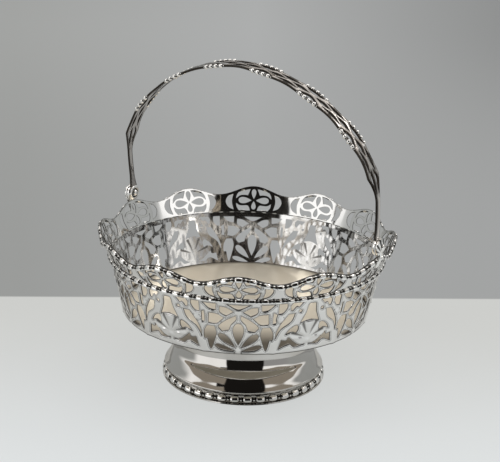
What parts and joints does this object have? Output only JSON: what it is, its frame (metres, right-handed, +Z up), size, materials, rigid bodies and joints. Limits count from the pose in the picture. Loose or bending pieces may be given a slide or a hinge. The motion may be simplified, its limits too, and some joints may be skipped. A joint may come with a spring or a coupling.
{
  "type": "bonbon basket",
  "caption": "Round pierced silver bonbon basket on a spun foot, with a flared lobed border, beaded wires and an arched pierced handle that swings down to either side.",
  "frame": {"origin": "centre of the foot's bottom face, where the basket stands on the table", "axes": "+Z up along the axis of the bowl and foot; X runs through both hinges of the handle; -Y is the front, towards which the handle leans a little at rest"},
  "size_m": [0.144, 0.143, 0.1534],
  "materials": {
    "silver": "polished sterling silver, lightly worn",
    "bright_silver": "burnished sterling silver",
    "worn_silver": "polished sterling silver with fine use scratches"
  },
  "bodies": {
    "basket": {"foot_base_ring": "silver", "foot_wire": "silver", "foot_shell": "bright_silver", "bowl_floor": "worn_silver", "wall_panel_01": "silver", "wall_panel_02": "silver", "wall_panel_03": "silver", "wall_panel_04": "silver", "wall_panel_05": "silver", "wall_panel_06": "silver", "wall_panel_07": "silver", "wall_panel_08": "silver", "wall_panel_09": "silver", "wall_panel_10": "silver", "wall_panel_11": "silver", "wall_panel_12": "silver", "border_panel_01": "bright_silver", "border_panel_02": "bright_silver", "border_panel_03": "bright_silver", "border_panel_04": "bright_silver", "border_panel_05": "bright_silver", "border_panel_06": "bright_silver", "border_panel_07": "bright_silver", "border_panel_08": "bright_silver", "border_panel_09": "bright_silver", "border_panel_10": "bright_silver", "border_panel_11": "bright_silver", "border_panel_12": "bright_silver", "belt_wire": "silver", "rim_wire_back": "silver", "rim_wire_front": "silver", "hinge_lug_left": "silver", "hinge_lug_right": "silver", "hinge_rivet_left": "silver", "hinge_rivet_right": "silver"},
    "handle": {"handle_arch": "silver", "handle_eye_left": "silver", "handle_eye_right": "silver"}
  },
  "joints": [
    {"name": "handle_swing", "type": "hinge", "parent": "basket", "child": "handle", "pos_m": [0, 0, 0.0784], "axis": [1, 0, 0], "range_deg": [-118.5, 105.5]}
  ]
}
